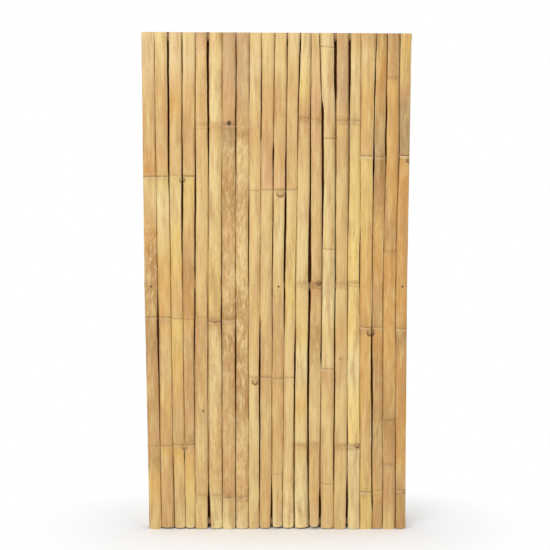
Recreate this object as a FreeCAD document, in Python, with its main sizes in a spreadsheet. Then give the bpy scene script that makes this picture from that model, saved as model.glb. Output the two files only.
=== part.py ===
import FreeCAD, Part
import Sketcher
import os

# Bamboo fence panel with two faces of split bamboo nailed to three round cross canes.
# Millimetres. +Z is up, the front face looks along -Y and +X is to the right seen from the front.
# The origin is under the middle of the panel, at the height of its lowest strip ends.
#
# Each strip is a piece of a culm that was split lengthwise. Its section is an arc of the culm's wall,
# with the skin outwards and two radial faces, and each node of the culm leaves a ring on it.
# Strips from one culm keep their node rings at one height.

document = FreeCAD.newDocument("BambooFencePanel")
sizes = document.addObject("Spreadsheet::Sheet", "Sizes")
layout = document.addObject("Spreadsheet::Sheet", "Layout")

V = FreeCAD.Vector

# The sizes that hold for the whole panel.
SHARED = [
    ("panel_height", 1800),
    ("strip_wall", 7),
    ("ring_height", 1.2),
    ("ring_reach", 8),
    ("head_fall", 5),
    ("drift_foot", 4),
    ("drift_mid", -2.5),
    ("drift_head", 0.5),
    ("edge_dressing", 1),
    ("back_gap", 2.5),
    ("cane_radius", 14),
    ("top_cane_below_head", 20),
    ("bottom_cane_above_foot", 24),
    ("cane_proud", 1),
    ("nail_length", 38),
    ("nail_radius", 1.4),
    ("nail_head_radius", 3.5),
    ("nail_head_thickness", 1.4),
    ("nail_fit", 0.05),
]

# Each culm: its radius at the foot and at the head of the panel, then the heights of its nodes, each
# measured from the foot, the middle or the head of the panel, whichever is handy.
CULMS = {
    "a": (39, 40, (("foot", 314), ("mid", -116), ("head", -503))),
    "b": (41, 40, (("foot", 118), ("mid", -123), ("head", -319))),
    "c": (37, 38, (("foot", 205), ("mid", -333), ("head", -550))),
    "d": (39, 37, (("foot", 322), ("mid", 8), ("head", -298))),
    "e": (40, 41, (("foot", 143), ("mid", -149), ("head", -429))),
    "f": (38, 37, (("foot", 188), ("mid", -299), ("mid", 135), ("head", -369), ("head", -50))),
    "g": (38, 38, (("foot", 246), ("foot", 415), ("mid", 131), ("head", -158))),
    "p": (39, 40, (("foot", 262), ("mid", -158), ("head", -553))),
    "q": (42, 43, (("mid", -340), ("mid", 280))),
    "r": (38, 37, (("foot", 410), ("mid", 30), ("head", -360))),
    "s": (41, 42, (("mid", -260), ("mid", 350))),
    "u": (39, 40, (("foot", 150), ("mid", -198), ("head", -540))),
    "v": (34, 34, (("mid", -380), ("mid", 220))),
}

# The front strips from left to right: the culm, the pitch to the next strip at the foot, at mid height
# and at the head of the panel, and how far the foot stops short of the lowest one.
FRONT_STRIPS = [
    ("a", 44, 47, 44, 0),
    ("a", 45, 49, 48, 6),
    ("a", 44, 40, 50, 5),
    ("a", 33, 44, 45, 5),
    ("b", 53, 48, 46, 2),
    ("b", 49, 48, 50, 3),
    ("b", 48, 51, 48, 1),
    ("b", 47, 46, 47, 2),
    ("c", 40, 41, 43, 1),
    ("c", 44, 43, 44, 4),
    ("c", 40, 45, 46, 8),
    ("c", 42, 39, 43, 5),
    ("d", 47, 49, 39, 6),
    ("d", 48, 45, 31, 10),
    ("f", 50, 47, 49, 3),
    ("d", 48, 45, 54, 1),
    ("d", 50, 44, 41, 1),
    ("e", 44, 45, 51, 0),
    ("e", 39, 40, 39, 2),
    ("g", 47, 43, 45, 0),
    ("e", 36, 42, 42, 2),
]

# The open gap on the right of each front strip but the last, from the foot up: at the foot, half way up
# and at the head, and for a gap that varies more at the quarters too.
FRONT_GAPS = [
    (2, 2, 2),
    (2, 2, 2, 5, 6),
    (2, 2, 2, 6, 3),
    (2, 3, 4, 4, 2),
    (12, 3, 2, 5, 10),
    (2, 3, 2),
    (4, 2, 4),
    (2, 4, 2),
    (5, 5, 3, 3, 3),
    (8, 2, 2, 5, 2),
    (3, 3, 6, 7, 5),
    (6, 5, 4),
    (2, 5, 9, 5, 2),
    (8, 4, 3, 6, 5),
    (3, 5, 2, 2, 9),
    (7, 2, 2, 2, 8),
    (2, 5, 2),
    (3, 5, 3, 6, 2),
    (2, 2, 2, 5, 3),
    (2, 2, 2),
]

# The rear strips from left to right, seen from the front: the culm and the pitch, which is the same from
# foot to head. Their joints lie behind the middles of the front strips, so the outer two are narrow.
BACK_STRIPS = [
    ("p", 31),
    ("p", 39),
    ("p", 46),
    ("p", 42),
    ("q", 44),
    ("q", 48),
    ("q", 48),
    ("q", 50),
    ("r", 43),
    ("r", 42),
    ("r", 44),
    ("r", 42),
    ("s", 45),
    ("s", 43),
    ("s", 46),
    ("s", 49),
    ("u", 46),
    ("u", 45),
    ("u", 42),
    ("u", 43),
    ("v", 36),
    ("v", 28),
]

# The front strips that carry a round-headed nail at mid height.
NAILED_STRIPS = (1, 11, 21)

# The heights at which joints and gaps are set: how many quarters of the panel's height each one is up.
LEVELS = {"foot": 0, "low": 1, "mid": 2, "high": 3, "head": 4}
MAIN_LEVELS = ("foot", "mid", "head")
QUARTERS = LEVELS["head"]
COUNT = len(FRONT_STRIPS)


def fill(sheet, rows):
    """Writes names and values into a sheet, one row each, and makes each name the alias of its value."""
    for line, (name, value) in enumerate(rows, 1):
        sheet.set(f"A{line}", name)
        sheet.set(f"B{line}", str(value))
        sheet.setAlias(f"B{line}", name)


def size_rows():
    """The rows of the driving sheet."""
    rows = list(SHARED)
    for culm, (foot_radius, head_radius, nodes) in CULMS.items():
        rows.append((f"culm_{culm}_foot", foot_radius))
        rows.append((f"culm_{culm}_head", head_radius))
        for place, (datum, offset) in enumerate(nodes, 1):
            rows.append((f"culm_{culm}_node_{place}", offset))
    for number, (culm, foot, mid, head, lift) in enumerate(FRONT_STRIPS, 1):
        rows.append((f"pitch_{number:02d}_foot", foot))
        rows.append((f"pitch_{number:02d}_mid", mid))
        rows.append((f"pitch_{number:02d}_head", head))
        rows.append((f"lift_{number:02d}", lift))
    for number, widths in enumerate(FRONT_GAPS, 1):
        for level, width in zip(levels_at(number), widths):
            rows.append((f"gap_{number:02d}_{level}", width))
    for number, (culm, pitch) in enumerate(BACK_STRIPS, 1):
        rows.append((f"back_pitch_{number:02d}", pitch))
    return rows


def levels_at(joint):
    """The levels at which a joint's gap is set. The two outer edges of the panel have no gap."""
    if joint in (0, COUNT):
        return MAIN_LEVELS
    return tuple(LEVELS) if len(FRONT_GAPS[joint - 1]) == len(LEVELS) else MAIN_LEVELS


def gap(joint, level):
    """The gap at a joint, which is nothing at the two outer edges of the panel."""
    if joint in (0, COUNT):
        return "0"
    return f"Sizes.gap_{joint:02d}_{level}"


def joint_rows():
    """Where the front joints lie at each level, from the pitches added up from the left edge."""
    rows = []
    for level in MAIN_LEVELS:
        total = " + ".join(f"Sizes.pitch_{number:02d}_{level}" for number in range(1, COUNT + 1))
        rows.append((f"joint_00_{level}", f"=Sizes.drift_{level} - ({total}) / 2"))
        for number in range(1, COUNT + 1):
            before = f"joint_{number - 1:02d}_{level}"
            rows.append((f"joint_{number:02d}_{level}", f"={before} + Sizes.pitch_{number:02d}_{level}"))
    for joint in range(COUNT + 1):
        if "low" in levels_at(joint):
            name = f"joint_{joint:02d}"
            rows.append((f"{name}_low", f"=({name}_foot + {name}_mid) / 2"))
            rows.append((f"{name}_high", f"=({name}_mid + {name}_head) / 2"))
    return rows


def strip_rows(number, culm):
    """A front strip's straight axis, its two edges measured from it, and the chord that takes them in.

    The joints bow a little, so the axis runs half way between the bow and the line through the ends.
    """
    strip = f"{number:02d}"
    middle = {
        level: f"(joint_{number - 1:02d}_{level} + joint_{strip}_{level}) / 2" for level in MAIN_LEVELS
    }
    rows = [(f"bow_{strip}", f"={middle['mid']} - ({middle['foot']} + {middle['head']}) / 2")]
    for end in ("foot", "head"):
        rows.append((f"axis_{strip}_{end}", f"={middle[end]} + bow_{strip} / 2"))
    rows.append((f"lean_{strip}", f"=atan((axis_{strip}_head - axis_{strip}_foot) / Sizes.panel_height)"))
    edges = []
    for joint, side, way in ((number - 1, "left", "+"), (number, "right", "-")):
        for level in levels_at(joint):
            along = f"(axis_{strip}_head - axis_{strip}_foot) * {LEVELS[level]} / {QUARTERS}"
            inset = f"{way} {gap(joint, level)} / 2"
            edges.append(f"{side}_{strip}_{level}")
            rows.append((edges[-1], f"=joint_{joint:02d}_{level} {inset} - axis_{strip}_foot - {along}"))
    reaches = "; ".join(f"abs({edge})" for edge in edges)
    rows.append((f"chord_{strip}", f"=2 * max({reaches}) + Sizes.edge_dressing"))
    return rows + seat_rows(f"_{strip}", f"chord_{strip}", culm)


def nail_rows():
    """How deep each round-headed nail goes into the middle cane."""
    return [
        (
            f"nail_depth_{number:02d}",
            f"=Sizes.nail_length - {skin_radius(number)} + Sizes.cane_radius + seat_{number:02d}",
        )
        for number in NAILED_STRIPS
    ]


def layout_rows():
    """The rows worked out from the driving sheet: where the joints lie, and each strip's chord and seat."""
    rows = joint_rows()
    for number, (culm, *_) in enumerate(FRONT_STRIPS, 1):
        rows += strip_rows(number, culm)
    rows += nail_rows()
    total = " + ".join(f"Sizes.back_pitch_{number:02d}" for number in range(1, len(BACK_STRIPS) + 1))
    rows.append(("back_joint_00", f"=-({total}) / 2"))
    for number, (culm, pitch) in enumerate(BACK_STRIPS, 1):
        strip = f"{number:02d}"
        before = f"back_joint_{number - 1:02d}"
        rows.append((f"back_joint_{strip}", f"={before} + Sizes.back_pitch_{strip}"))
        rows.append((f"back_axis_{strip}", f"=({before} + back_joint_{strip}) / 2"))
        rows.append((f"back_chord_{strip}", f"=Sizes.back_pitch_{strip} - Sizes.back_gap"))
        rows += seat_rows(f"_back_{strip}", f"back_chord_{strip}", culm)
    return rows


def seat_rows(ending, chord, culm):
    """Half the angle that a strip takes of its culm, and how far the culm's axis lies beyond the cane's.

    The strip's two inner edges rest on the cane, so its seat follows from the inner radius and the angle.
    """
    radii = f"(Sizes.culm_{culm}_foot + Sizes.culm_{culm}_head)"
    return [
        (f"half_angle{ending}", f"=asin({chord} / {radii})"),
        (f"seat{ending}", f"=({inner_radius(culm)}) * cos(half_angle{ending}) - Sizes.cane_radius"),
    ]


def inner_radius(culm):
    """The radius of the culm's hollow, the same from foot to head."""
    return f"min(Sizes.culm_{culm}_foot; Sizes.culm_{culm}_head) - Sizes.strip_wall"


def skin_radius(number):
    """The radius of a front strip's skin at mid height, which lies between two of its nodes."""
    culm = FRONT_STRIPS[number - 1][0]
    nodes = CULMS[culm][2]
    step = sum(1 for datum, offset in nodes if datum == "foot" or datum == "mid" and offset < 0)
    return internode_radius(culm, step)


def internode_radius(culm, step):
    """The skin's radius between two nodes, step nodes up from the foot."""
    steps = len(CULMS[culm][2])
    rise = f"(Sizes.culm_{culm}_head - Sizes.culm_{culm}_foot)"
    return f"(Sizes.culm_{culm}_foot + {rise} * {step} / {steps})"


def node_height(culm, place):
    """The height of one of a culm's nodes, which is measured from the foot, middle or head of the panel."""
    datum = CULMS[culm][2][place - 1][0]
    return f"(Sizes.panel_height * {LEVELS[datum]} / {QUARTERS} + Sizes.culm_{culm}_node_{place})"


def plane(body, role):
    """One of the body's own origin planes."""
    return next(feature for feature in body.Origin.OriginFeatures if feature.Role == role)


def new_sketch(body, name, role):
    """An empty sketch on one of the body's origin planes."""
    sketch = body.newObject("Sketcher::SketchObject", name)
    sketch.AttachmentSupport = [(plane(body, role), "")]
    sketch.MapMode = "FlatFace"
    return sketch


def add_outline(sketch, corners):
    """Adds a closed outline of straight lines, whose corners are pairs of formulas in the sizes."""
    places = [V(float(layout.evalExpression(x)), float(layout.evalExpression(y)), 0) for x, y in corners]
    first = sketch.GeometryCount
    count = len(corners)
    ring = [(first + place, first + (place + 1) % count) for place in range(count)]
    lines = [Part.LineSegment(places[a - first], places[b - first]) for a, b in ring]
    sketch.addGeometry(lines, False)
    sketch.addConstraint([Sketcher.Constraint("Coincident", a, 2, b, 1) for a, b in ring])
    for (line, _), spot, formulas in zip(ring, places, corners):
        across = sketch.addConstraint(Sketcher.Constraint("DistanceX", -1, 1, line, 1, spot.x))
        up = sketch.addConstraint(Sketcher.Constraint("DistanceY", -1, 1, line, 1, spot.y))
        sketch.setExpression(f"Constraints[{across}]", formulas[0])
        sketch.setExpression(f"Constraints[{up}]", formulas[1])


def add_circle(sketch, across, up, radius):
    """Adds a circle whose centre and radius are formulas in the sizes."""
    centre = V(float(layout.evalExpression(across)), float(layout.evalExpression(up)), 0)
    circle = sketch.addGeometry(Part.Circle(centre, V(0, 0, 1), float(layout.evalExpression(radius))), False)
    for kind, value, formula in (("DistanceX", centre.x, across), ("DistanceY", centre.y, up)):
        place = sketch.addConstraint(Sketcher.Constraint(kind, -1, 1, circle, 3, value))
        sketch.setExpression(f"Constraints[{place}]", formula)
    size = sketch.addConstraint(Sketcher.Constraint("Radius", circle, float(layout.evalExpression(radius))))
    sketch.setExpression(f"Constraints[{size}]", radius)


def culm_profile(culm, side, foot, head):
    """The corners of a culm's wall in profile: up the skin with a ring at each node, and down the hollow.

    side is -1 where the skin faces the front and 1 where it faces the back.
    """
    corners = [(internode_radius(culm, 0), foot)]
    for place in range(1, len(CULMS[culm][2]) + 1):
        height = node_height(culm, place)
        below, above = internode_radius(culm, place - 1), internode_radius(culm, place)
        corners.append((below, f"{height} - Sizes.ring_reach"))
        corners.append((f"({below} + {above}) / 2 + Sizes.ring_height", height))
        corners.append((above, f"{height} + Sizes.ring_reach"))
    corners.append((above, head))
    corners.append((inner_radius(culm), head))
    corners.append((inner_radius(culm), foot))
    return [(f"{side} * ({radius})", height) for radius, height in corners]


def split_strip(label, culm, side, half_angle, foot, head):
    """A body that holds one piece of a culm, its skin on the given side of the culm's axis."""
    body = document.addObject("PartDesign::Body", label)
    body.Label = label
    wall = new_sketch(body, f"{label}_wall", "YZ_Plane")
    add_outline(wall, culm_profile(culm, side, foot, head))
    split = body.newObject("PartDesign::Revolution", f"{label}_split")
    split.Profile = (wall, [""])
    split.ReferenceAxis = (wall, ["V_Axis"])
    split.Midplane = True
    split.setExpression("Angle", f"2 * {half_angle}")
    return body


def cut_through(body, sketch, name):
    """Cuts a sketch's outlines out of a body, all the way through."""
    cut = body.newObject("PartDesign::Pocket", name)
    cut.Profile = (sketch, [""])
    cut.Type = "ThroughAll"
    cut.Midplane = True
    return cut


def dressed_edges(body, number, culm):
    """Trims the two edges of a front strip to the gaps beside it, which open and close along its length.

    What is trimmed off is drawn from the edge outwards, past the skin and past both ends of the strip.
    """
    strip = f"{number:02d}"
    sketch = new_sketch(body, f"{body.Name}_edges", "XZ_Plane")
    for joint, side, way in ((number - 1, "left", "-"), (number, "right", "")):
        levels = levels_at(joint)
        heights = [f"Sizes.panel_height * {LEVELS[level]} / {QUARTERS}" for level in levels]
        heights[0] = "-Sizes.strip_wall"
        heights[-1] = "Sizes.panel_height + Sizes.strip_wall"
        corners = [(f"Layout.{side}_{strip}_{level}", height) for level, height in zip(levels, heights)]
        outside = f"{way}Layout.chord_{strip}"
        corners += [(outside, heights[-1]), (outside, heights[0])]
        add_outline(sketch, corners)
    cut_through(body, sketch, f"{body.Name}_dressed")


def nail_hole(body, number):
    """The hole that a round-headed nail makes in its strip at mid height."""
    sketch = new_sketch(body, f"{body.Name}_nail_hole", "XZ_Plane")
    height = f"Sizes.panel_height / 2 / cos(Layout.lean_{number:02d})"
    add_circle(sketch, "0", height, "Sizes.nail_radius + Sizes.nail_fit")
    cut_through(body, sketch, f"{body.Name}_nailed")


def front_strip(number):
    """One strip of the front face. It leans a little, as its joints do, and its edges are dressed."""
    strip = f"{number:02d}"
    culm = FRONT_STRIPS[number - 1][0]
    head = f"Sizes.panel_height - Sizes.head_fall * {number - 1} / {COUNT - 1}"
    body = split_strip(
        f"front_strip_{strip}", culm, -1, f"Layout.half_angle_{strip}", f"Sizes.lift_{strip}", head
    )
    dressed_edges(body, number, culm)
    if number in NAILED_STRIPS:
        nail_hole(body, number)
    body.setExpression("Placement.Base.x", f"Layout.axis_{strip}_foot")
    body.setExpression("Placement.Base.y", f"Layout.seat_{strip}")
    for letter, share in (("x", "0"), ("y", "1"), ("z", "0")):
        body.setExpression(f"Placement.Rotation.Axis.{letter}", share)
    body.setExpression("Placement.Rotation.Angle", f"Layout.lean_{strip}")
    return body


def back_strip(number):
    """One strip of the rear face. It stands upright with plain split edges."""
    strip = f"{number:02d}"
    culm = BACK_STRIPS[number - 1][0]
    half_angle = f"Layout.half_angle_back_{strip}"
    body = split_strip(f"back_strip_{strip}", culm, 1, half_angle, "0", "Sizes.panel_height")
    body.setExpression("Placement.Base.x", f"Layout.back_axis_{strip}")
    body.setExpression("Placement.Base.y", f"-Layout.seat_back_{strip}")
    return body


def cross_cane(label, height, level, nailed=()):
    """A round cane across the panel, cut just outside a node at each end so that its ends are closed."""
    body = document.addObject("PartDesign::Body", label)
    body.Label = label
    left = f"Layout.joint_00_{level} - Sizes.cane_proud"
    right = f"Layout.joint_{COUNT:02d}_{level} + Sizes.cane_proud"
    profile = new_sketch(body, f"{label}_profile", "XZ_Plane")
    radius = "Sizes.cane_radius"
    add_outline(profile, [(left, "0"), (left, radius), (right, radius), (right, "0")])
    turned = body.newObject("PartDesign::Revolution", f"{label}_round")
    turned.Profile = (profile, [""])
    turned.ReferenceAxis = (profile, ["H_Axis"])
    turned.Angle = 360
    if nailed:
        holes = new_sketch(body, f"{label}_holes", "XZ_Plane")
        holes.setExpression("AttachmentOffset.Base.z", "Sizes.cane_radius")
        for number in nailed:
            add_circle(holes, nail_across(number), "0", "Sizes.nail_radius + Sizes.nail_fit")
        depths = "; ".join(f"Layout.nail_depth_{number:02d}" for number in nailed)
        drilled = body.newObject("PartDesign::Pocket", f"{label}_drilled")
        drilled.Profile = (holes, [""])
        drilled.setExpression("Length", f"max({depths}) + Sizes.nail_fit")
    body.setExpression("Placement.Base.z", height)
    return body


def nail_across(number):
    """How far from the middle of the panel a front strip's nail lies."""
    strip = f"{number:02d}"
    return f"(Layout.axis_{strip}_foot + Layout.axis_{strip}_head) / 2"


def cylinder(name, radius, length, across, along):
    """A round bar along Y whose sizes and place are formulas, at mid height."""
    bar = document.addObject("Part::Cylinder", name)
    bar.setExpression("Radius", radius)
    bar.setExpression("Height", length)
    bar.Placement = FreeCAD.Placement(V(0, 0, 0), FreeCAD.Rotation(V(1, 0, 0), -90))
    bar.setExpression("Placement.Base.x", across)
    bar.setExpression("Placement.Base.y", along)
    bar.setExpression("Placement.Base.z", "Sizes.panel_height / 2")
    return bar


def round_nail(number):
    """A wire nail with a round flat head, driven through a front strip into the middle cane."""
    strip = f"{number:02d}"
    skin = f"Layout.seat_{strip} - {skin_radius(number)}"
    face = f"{skin} - Sizes.nail_head_thickness"
    across = nail_across(number)
    shank = cylinder(f"nail_{strip}_shank", "Sizes.nail_radius", "Sizes.nail_length", across, skin)
    head = cylinder(f"nail_{strip}_head", "Sizes.nail_head_radius", "Sizes.nail_head_thickness", across, face)
    nail = document.addObject("Part::MultiFuse", f"nail_{strip}")
    nail.Shapes = [head, shank]
    return nail


fill(sizes, size_rows())
document.recompute()
fill(layout, layout_rows())
document.recompute()

parts = [front_strip(number) for number in range(1, COUNT + 1)]
parts += [back_strip(number) for number in range(1, len(BACK_STRIPS) + 1)]
parts.append(cross_cane("rail_top", "Sizes.panel_height - Sizes.top_cane_below_head", "head"))
parts.append(cross_cane("rail_middle", "Sizes.panel_height / 2", "mid", NAILED_STRIPS))
parts.append(cross_cane("rail_bottom", "Sizes.bottom_cane_above_foot", "foot"))

nails = document.addObject("Part::Compound", "front_nails")
nails.Label = "front_nails"
nails.Links = [round_nail(number) for number in NAILED_STRIPS]
parts.append(nails)

document.recompute()

failed = [item.Label for item in document.Objects if "Invalid" in item.State or "Error" in item.State]
failed += [part.Label for part in parts if part.Shape.isNull() or not part.Shape.isValid()]
if failed:
    raise SystemExit(f"these did not build: {sorted(set(failed))}")

os.makedirs("parts", exist_ok=True)
for part in parts:
    part.Shape.exportStep(f"parts/{part.Label}.step")
    print(part.Label, len(part.Shape.Solids), round(part.Shape.Volume))
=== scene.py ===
import ast
import math
import random

import bpy
import numpy as np
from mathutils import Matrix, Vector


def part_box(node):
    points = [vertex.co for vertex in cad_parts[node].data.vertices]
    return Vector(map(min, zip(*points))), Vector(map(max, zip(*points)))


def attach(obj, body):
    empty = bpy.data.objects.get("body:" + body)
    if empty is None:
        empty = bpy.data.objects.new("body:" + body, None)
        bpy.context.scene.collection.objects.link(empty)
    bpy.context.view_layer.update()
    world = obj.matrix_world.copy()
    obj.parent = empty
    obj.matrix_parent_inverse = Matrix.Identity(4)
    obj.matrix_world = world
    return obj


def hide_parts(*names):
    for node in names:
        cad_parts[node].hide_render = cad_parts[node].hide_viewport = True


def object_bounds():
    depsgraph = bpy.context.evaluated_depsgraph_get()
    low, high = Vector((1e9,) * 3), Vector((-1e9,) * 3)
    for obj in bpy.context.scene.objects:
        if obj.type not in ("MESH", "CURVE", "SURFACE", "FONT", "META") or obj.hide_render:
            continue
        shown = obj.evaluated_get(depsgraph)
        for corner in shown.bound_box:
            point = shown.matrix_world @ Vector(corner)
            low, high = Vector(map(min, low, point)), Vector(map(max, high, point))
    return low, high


# A bamboo fence panel: split strips nailed side by side on both faces of three round cross canes.
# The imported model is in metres, with +Z up, the front face towards -Y and +X to the right from the front.
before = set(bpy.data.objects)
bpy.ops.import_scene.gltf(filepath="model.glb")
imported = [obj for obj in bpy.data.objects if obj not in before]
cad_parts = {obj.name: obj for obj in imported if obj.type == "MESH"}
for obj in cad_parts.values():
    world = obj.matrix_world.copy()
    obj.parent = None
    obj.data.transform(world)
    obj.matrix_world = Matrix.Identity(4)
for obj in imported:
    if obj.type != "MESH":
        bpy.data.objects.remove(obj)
cad_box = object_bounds()
MM = 0.001


# The three cross canes. Each is a whole young culm a little thicker than a thumb, cut from one length and
# dried, with its nodes shaved nearly flush so that the strips lie flat on it. It is sawn off at both ends
# and hollow, and a node's wall closes it a few millimetres in.
CANE_WALL = 4.5 * MM
CANE_NODE_SPACING = 235 * MM
CANE_NODE_HEIGHT = 0.5 * MM
CANE_NODE_REACH = 7 * MM
CANE_END_RECESS = 7 * MM
CANE_END_BEVEL = 0.4 * MM
CANE_STEP = 6 * MM
CANE_SIDES = 32

# How far each cane's nodes are shifted against those of the cane above it.
CANE_SHIFT = 80 * MM


def linear(code):
    """A colour written as an sRGB hex value, as the linear colour that a shader takes."""
    values = [int(code[place:place + 2], 16) / 255 for place in (1, 3, 5)]
    return [v / 12.92 if v <= 0.04045 else ((v + 0.055) / 1.055) ** 2.4 for v in values] + [1.0]


def add(tree, kind, inputs=None, **settings):
    """Adds a node with its settings, then its inputs: a socket is linked and any other value is set."""
    made = tree.nodes.new(kind)
    for name, value in settings.items():
        setattr(made, name, value)
    for place, value in (inputs or {}).items():
        if isinstance(value, bpy.types.NodeSocket):
            tree.links.new(value, made.inputs[place])
        else:
            made.inputs[place].default_value = value
    return made


def new_material(name):
    """A material with only its output, and its tree."""
    material = bpy.data.materials.new(name)
    material.use_nodes = True
    tree = material.node_tree
    tree.nodes.clear()
    return material, tree


def set_stops(ramp, stops):
    """Gives a colour ramp its stops: pairs of a position and an sRGB hex value, and maybe an opacity."""
    elements = ramp.color_ramp.elements
    while len(elements) < len(stops):
        elements.new(0.5)
    for element, (position, code, *opacity) in zip(elements, stops):
        element.position = position
        element.color = linear(code)[:3] + (opacity or [1.0])
    return ramp


def shaved_cane():
    """Dried cane skin with most of its shine worn off: a dull tan, streaked along the grain.

    The grain runs along X. Streaks on a cane this thin are 1 to 2 mm wide and a hand long. Its tans are
    darker than the cane's own, as painted shade for the shadow that it lies in behind the strips.
    """
    material, tree = new_material("dried_cane_skin_painted_shade")
    place = add(tree, "ShaderNodeTexCoord").outputs["Object"]
    along = add(tree, "ShaderNodeMapping", {"Vector": place, "Scale": (7, 600, 600)}).outputs[0]
    streaks = add(tree, "ShaderNodeTexNoise", {"Vector": along, "Scale": 1.0, "Detail": 4.0}).outputs["Fac"]
    ramp = add(tree, "ShaderNodeValToRGB", {0: streaks})
    # Darker than the cane's own tan: painted shade.
    set_stops(ramp, [(0.25, "#86683F"), (0.5, "#A5814F"), (0.75, "#BE9A66")])
    bump = add(tree, "ShaderNodeBump", {"Height": streaks, "Strength": 0.4, "Distance": 0.3 * MM})
    shader = add(tree, "ShaderNodeBsdfPrincipled", {
        "Base Color": ramp.outputs[0], "Roughness": 0.55, "IOR": 1.5, "Normal": bump.outputs[0]})
    add(tree, "ShaderNodeOutputMaterial", {0: shader.outputs[0]})
    return material


def end_grain():
    """A sawn end of bamboo: pale ground with the dark dots of its vascular bundles.

    The bundles are about 0.6 mm across and stand closer together towards the skin. They are drawn at
    1.2 mm, because finer ones would melt together at this distance.
    """
    material, tree = new_material("sawn_bamboo_end")
    place = add(tree, "ShaderNodeTexCoord").outputs["Object"]
    cells = add(tree, "ShaderNodeTexVoronoi", {"Vector": place, "Scale": 1 / (1.2 * MM)}).outputs["Distance"]
    dots = add(tree, "ShaderNodeValToRGB", {0: cells})
    set_stops(dots, [(0.15, "#8A6238"), (0.4, "#C9A670"), (0.8, "#D8BA86")])
    wide = add(tree, "ShaderNodeTexNoise", {"Vector": place, "Scale": 45.0, "Detail": 3.0}).outputs["Fac"]
    dirt = add(tree, "ShaderNodeMix", {0: wide, 6: dots.outputs[0], 7: linear("#A8854F")},
               data_type="RGBA", blend_type="MULTIPLY").outputs[2]
    shader = add(tree, "ShaderNodeBsdfPrincipled", {"Base Color": dirt, "Roughness": 0.8, "IOR": 1.5})
    add(tree, "ShaderNodeOutputMaterial", {0: shader.outputs[0]})
    return material


def placed(name, data):
    """A new object in the scene, unturned and at the origin, that shows a mesh, a lamp or a camera."""
    made = bpy.data.objects.new(name, data)
    bpy.context.collection.objects.link(made)
    return made


def turned(name, section, axis, centre, materials, sides):
    """A closed turned mesh. section is (distance along the axis, radius, material number) from end to end.

    The first and the last points lie on the axis. A point's material is that of the band after it.
    """
    centre = np.array(centre)
    along, across, beside = [np.roll((1.0, 0.0, 0.0), axis + turn) for turn in range(3)]
    angles = [2 * math.pi * step / sides for step in range(sides)]
    circle = [math.cos(angle) * across + math.sin(angle) * beside for angle in angles]
    points = [centre + along * section[0][0]]
    for distance, radius, _ in section[1:-1]:
        points += [centre + along * distance + radius * way for way in circle]
    points.append(centre + along * section[-1][0])
    faces, numbers = [], []
    last = len(points) - 1
    rim = last - sides
    for step in range(sides):
        after = (step + 1) % sides
        faces.append((0, 1 + after, 1 + step))
        numbers.append(section[0][2])
        for band in range(len(section) - 3):
            low, high = 1 + band * sides, 1 + (band + 1) * sides
            faces.append((low + step, low + after, high + after, high + step))
            numbers.append(section[band + 1][2])
        faces.append((rim + step, rim + after, last))
        numbers.append(section[-2][2])
    mesh = bpy.data.meshes.new(name)
    mesh.from_pydata([tuple(point) for point in points], [], faces)
    for material in materials:
        mesh.materials.append(material)
    mesh.polygons.foreach_set("material_index", numbers)
    mesh.polygons.foreach_set("use_smooth", [True] * len(faces))
    mesh.set_sharp_from_angle(angle=math.radians(40))
    return placed(name, mesh)


def cane_section(length, radius, offset):
    """The outline of half a cane, from the recessed wall at one end to the one at the other."""
    inner, rim = radius - CANE_WALL, radius - CANE_END_BEVEL
    section = [(CANE_END_RECESS, 0, 0), (CANE_END_RECESS, inner, 0), (0, inner, 1), (0, rim, 1)]
    steps = int(length / CANE_STEP)
    for step in range(1, steps):
        distance = length * step / steps
        from_node = (distance + offset + CANE_NODE_SPACING / 2) % CANE_NODE_SPACING - CANE_NODE_SPACING / 2
        swell = CANE_NODE_HEIGHT * math.exp(-(from_node / CANE_NODE_REACH) ** 2)
        section.append((distance, radius - CANE_NODE_HEIGHT + swell, 0))
    far = length - CANE_END_RECESS
    return section + [(length, rim, 1), (length, inner, 0), (far, inner, 0), (far, 0, 0)]


shaded_cane_skin = shaved_cane()
sawn_end = end_grain()
for order, rail in enumerate(("rail_top", "rail_middle", "rail_bottom")):
    low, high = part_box(rail)
    radius = (high[2] - low[2]) / 2
    centre = (low[0], (low[1] + high[1]) / 2, (low[2] + high[2]) / 2)
    section = cane_section(high[0] - low[0], radius, CANE_SHIFT * order)
    cane = turned(f"{rail}_cane", section, 0, centre, [shaded_cane_skin, sawn_end], CANE_SIDES)
    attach(cane, "root")
    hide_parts(rail)


# The rear strips. Big dried culms are split lengthwise into four, and the pieces are nailed side by side
# with their skin outwards. Each node of the culm left a ring on its pieces: the scar of the leaf sheath,
# a thin sharp ridge with a dark line beside it, on a low swelling. The pieces of one culm lie together,
# so their rings line up.
STRIP_WALL = 7 * MM
EDGE_ROUNDING = 0.6 * MM
BUD_HEIGHT = 0.5 * MM

# A ring swells the skin up to its reach. It leans and wavers by a few millimetres across the strip.
RING_HEIGHT = 1.2 * MM
RING_REACH = 30 * MM
RING_TILT = 3 * MM
RING_WAVER = 5 * MM

# In the solids a ring reaches 8 mm either way, and its top stands out by more than the least against the
# skin that is clear of it.
RING_CLEAR = 9 * MM
RING_LEAST = 0.6 * MM

# A ring or a scar leaves no mark further off than this, so that two of them never meet half way.
MARK_REACH = 60 * MM

# The stations up a strip: evenly spaced, and by offsets in millimetres at the foot and round a ring, which
# takes the room of the even ones.
PLAIN_STEP = 15 * MM
RING_ROOM = 26 * MM
FOOT_OFFSETS = [0, 0.6, 1.8, 3.6, 6]
RING_OFFSETS = [-24, -17, -12, -9, -7, -6, -5, -4.2, -3.5, -2.8, -2.1, -1.4, -0.7, 0,
                0.6, 1.2, 1.8, 2.4, 3, 3.6, 4.3, 5, 6, 7, 9, 12, 17, 24]
SKIN_POINTS = 17
WALL_POINTS = 8

# Half of the narrow, even gap between two rear strips, and how much its sides stray.
REAR_GAP_HALF = 0.7 * MM
REAR_STRAY = 0.5 * MM


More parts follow.
